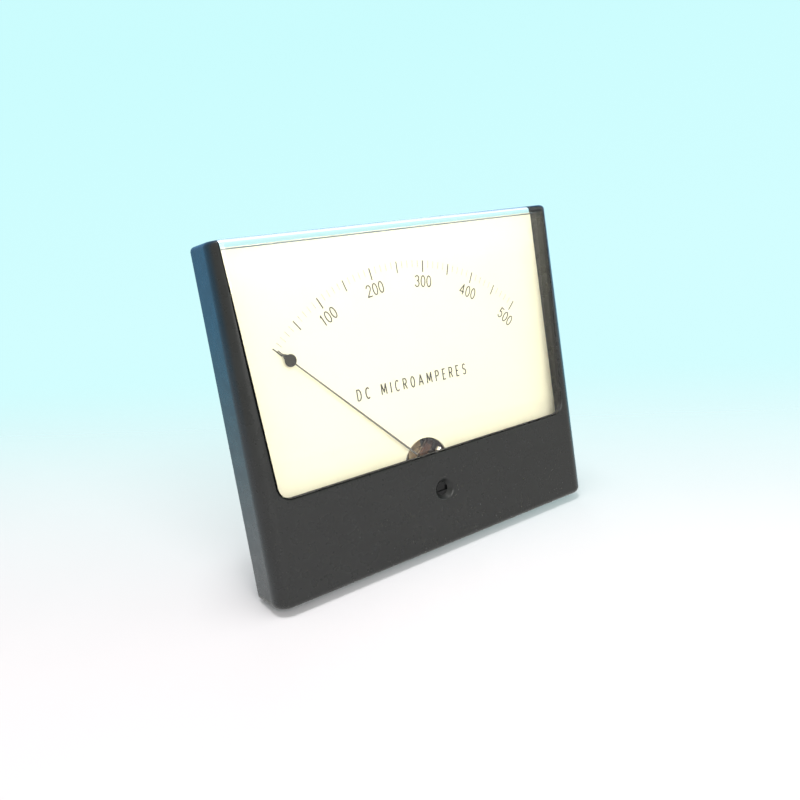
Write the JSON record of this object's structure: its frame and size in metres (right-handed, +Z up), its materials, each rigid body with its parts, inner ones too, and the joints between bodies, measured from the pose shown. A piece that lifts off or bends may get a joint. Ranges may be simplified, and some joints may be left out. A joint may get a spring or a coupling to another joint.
{
  "type": "analog panel meter",
  "caption": "Rectangular wide-view analog panel meter: moulded case with a clear wrap-over window, dial, moving-coil pointer movement, zero adjuster, rear barrel, studs and terminals.",
  "frame": {"origin": "axis of the rear barrel, on the rear face of the bezel where it meets the panel", "axes": "+X to the right of the dial seen from the front, +Y into the panel along the barrel, +Z up the dial"},
  "size_m": [0.1184, 0.057, 0.099],
  "materials": {
    "cover_plastic": "satin moulded plastic",
    "clear_acrylic": "clear polished acrylic",
    "case_plastic": "fine moulded plastic",
    "zinc_steel": "zinc plated steel",
    "terminal_brass": "turned brass",
    "tinned_brass": "tinned brass sheet",
    "black_nylon": "smooth black nylon",
    "spring_steel": "nickel plated steel",
    "dial_enamel": "matt cream enamel on steel sheet",
    "magnet_alloy": "ground cast magnet alloy",
    "soft_iron": "machined soft iron",
    "frame_brass": "machined brass",
    "plated_brass": "nickel plated brass",
    "ruby": "polished synthetic ruby",
    "phosphor_bronze": "polished phosphor bronze",
    "bare_aluminium": "bare bent strip",
    "enamelled_copper": "layered enamelled copper wire",
    "black_aluminium": "matt black paint on aluminium",
    "red_wire": "insulated wire",
    "black_wire": "insulated wire"
  },
  "bodies": {
    "case": {"front_cover": "cover_plastic", "window": "clear_acrylic", "case_back": "case_plastic", "case_screws": "zinc_steel", "mounting_studs": "zinc_steel", "terminal_studs": "terminal_brass", "terminal_lugs": "tinned_brass", "terminal_washers": "zinc_steel", "terminal_nuts": "terminal_brass", "dial_plate": "dial_enamel", "dial_screws": "zinc_steel", "magnet_core": "magnet_alloy", "yoke_ring": "soft_iron", "front_core_strap": "frame_brass", "rear_core_strap": "frame_brass", "strap_screws": "zinc_steel", "movement_screws": "zinc_steel", "front_pillars": "plated_brass", "front_bridge": "spring_steel", "front_bridge_screws": "zinc_steel", "front_jewel_screw": "frame_brass", "front_lock_nut": "frame_brass", "front_jewel": "ruby", "pointer_stops": "spring_steel", "rear_pillars": "plated_brass", "rear_bridge": "spring_steel", "rear_bridge_screws": "zinc_steel", "rear_jewel_screw": "frame_brass", "rear_lock_nut": "frame_brass", "rear_jewel": "ruby", "rear_hairspring": "phosphor_bronze", "front_lead": "red_wire", "rear_lead": "black_wire"},
    "movement": {"coil_former": "bare_aluminium", "coil_winding": "enamelled_copper", "front_pivot": "spring_steel", "rear_pivot": "spring_steel", "balance_cross": "frame_brass", "balance_weights": "frame_brass", "pointer": "black_aluminium"},
    "zero_screw": {"zero_screw": "black_nylon", "zero_screw_clip": "zinc_steel"},
    "zero_lever": {"zero_lever": "spring_steel", "front_hairspring": "phosphor_bronze"}
  },
  "joints": [
    {"name": "pointer_swing", "type": "hinge", "parent": "case", "child": "movement", "pos_m": [0, 0, -0.0145], "axis": [0, 1, 0], "range_deg": [-3, 93], "stiffness_Nm_per_rad": 0.00003},
    {"name": "zero_adjust", "type": "hinge", "parent": "case", "child": "zero_screw", "pos_m": [0, 0, -0.0217], "axis": [0, 1, 0], "range_deg": [-45, 45]},
    {"name": "zero_lever_turn", "type": "hinge", "parent": "case", "child": "zero_lever", "pos_m": [0, 0, -0.0145], "axis": [0, 1, 0], "range_deg": [-3.5, 3.5]}
  ],
  "couplings": [
    {"joint": "zero_lever_turn", "follows": "zero_adjust", "ratio": 0.0769}
  ]
}
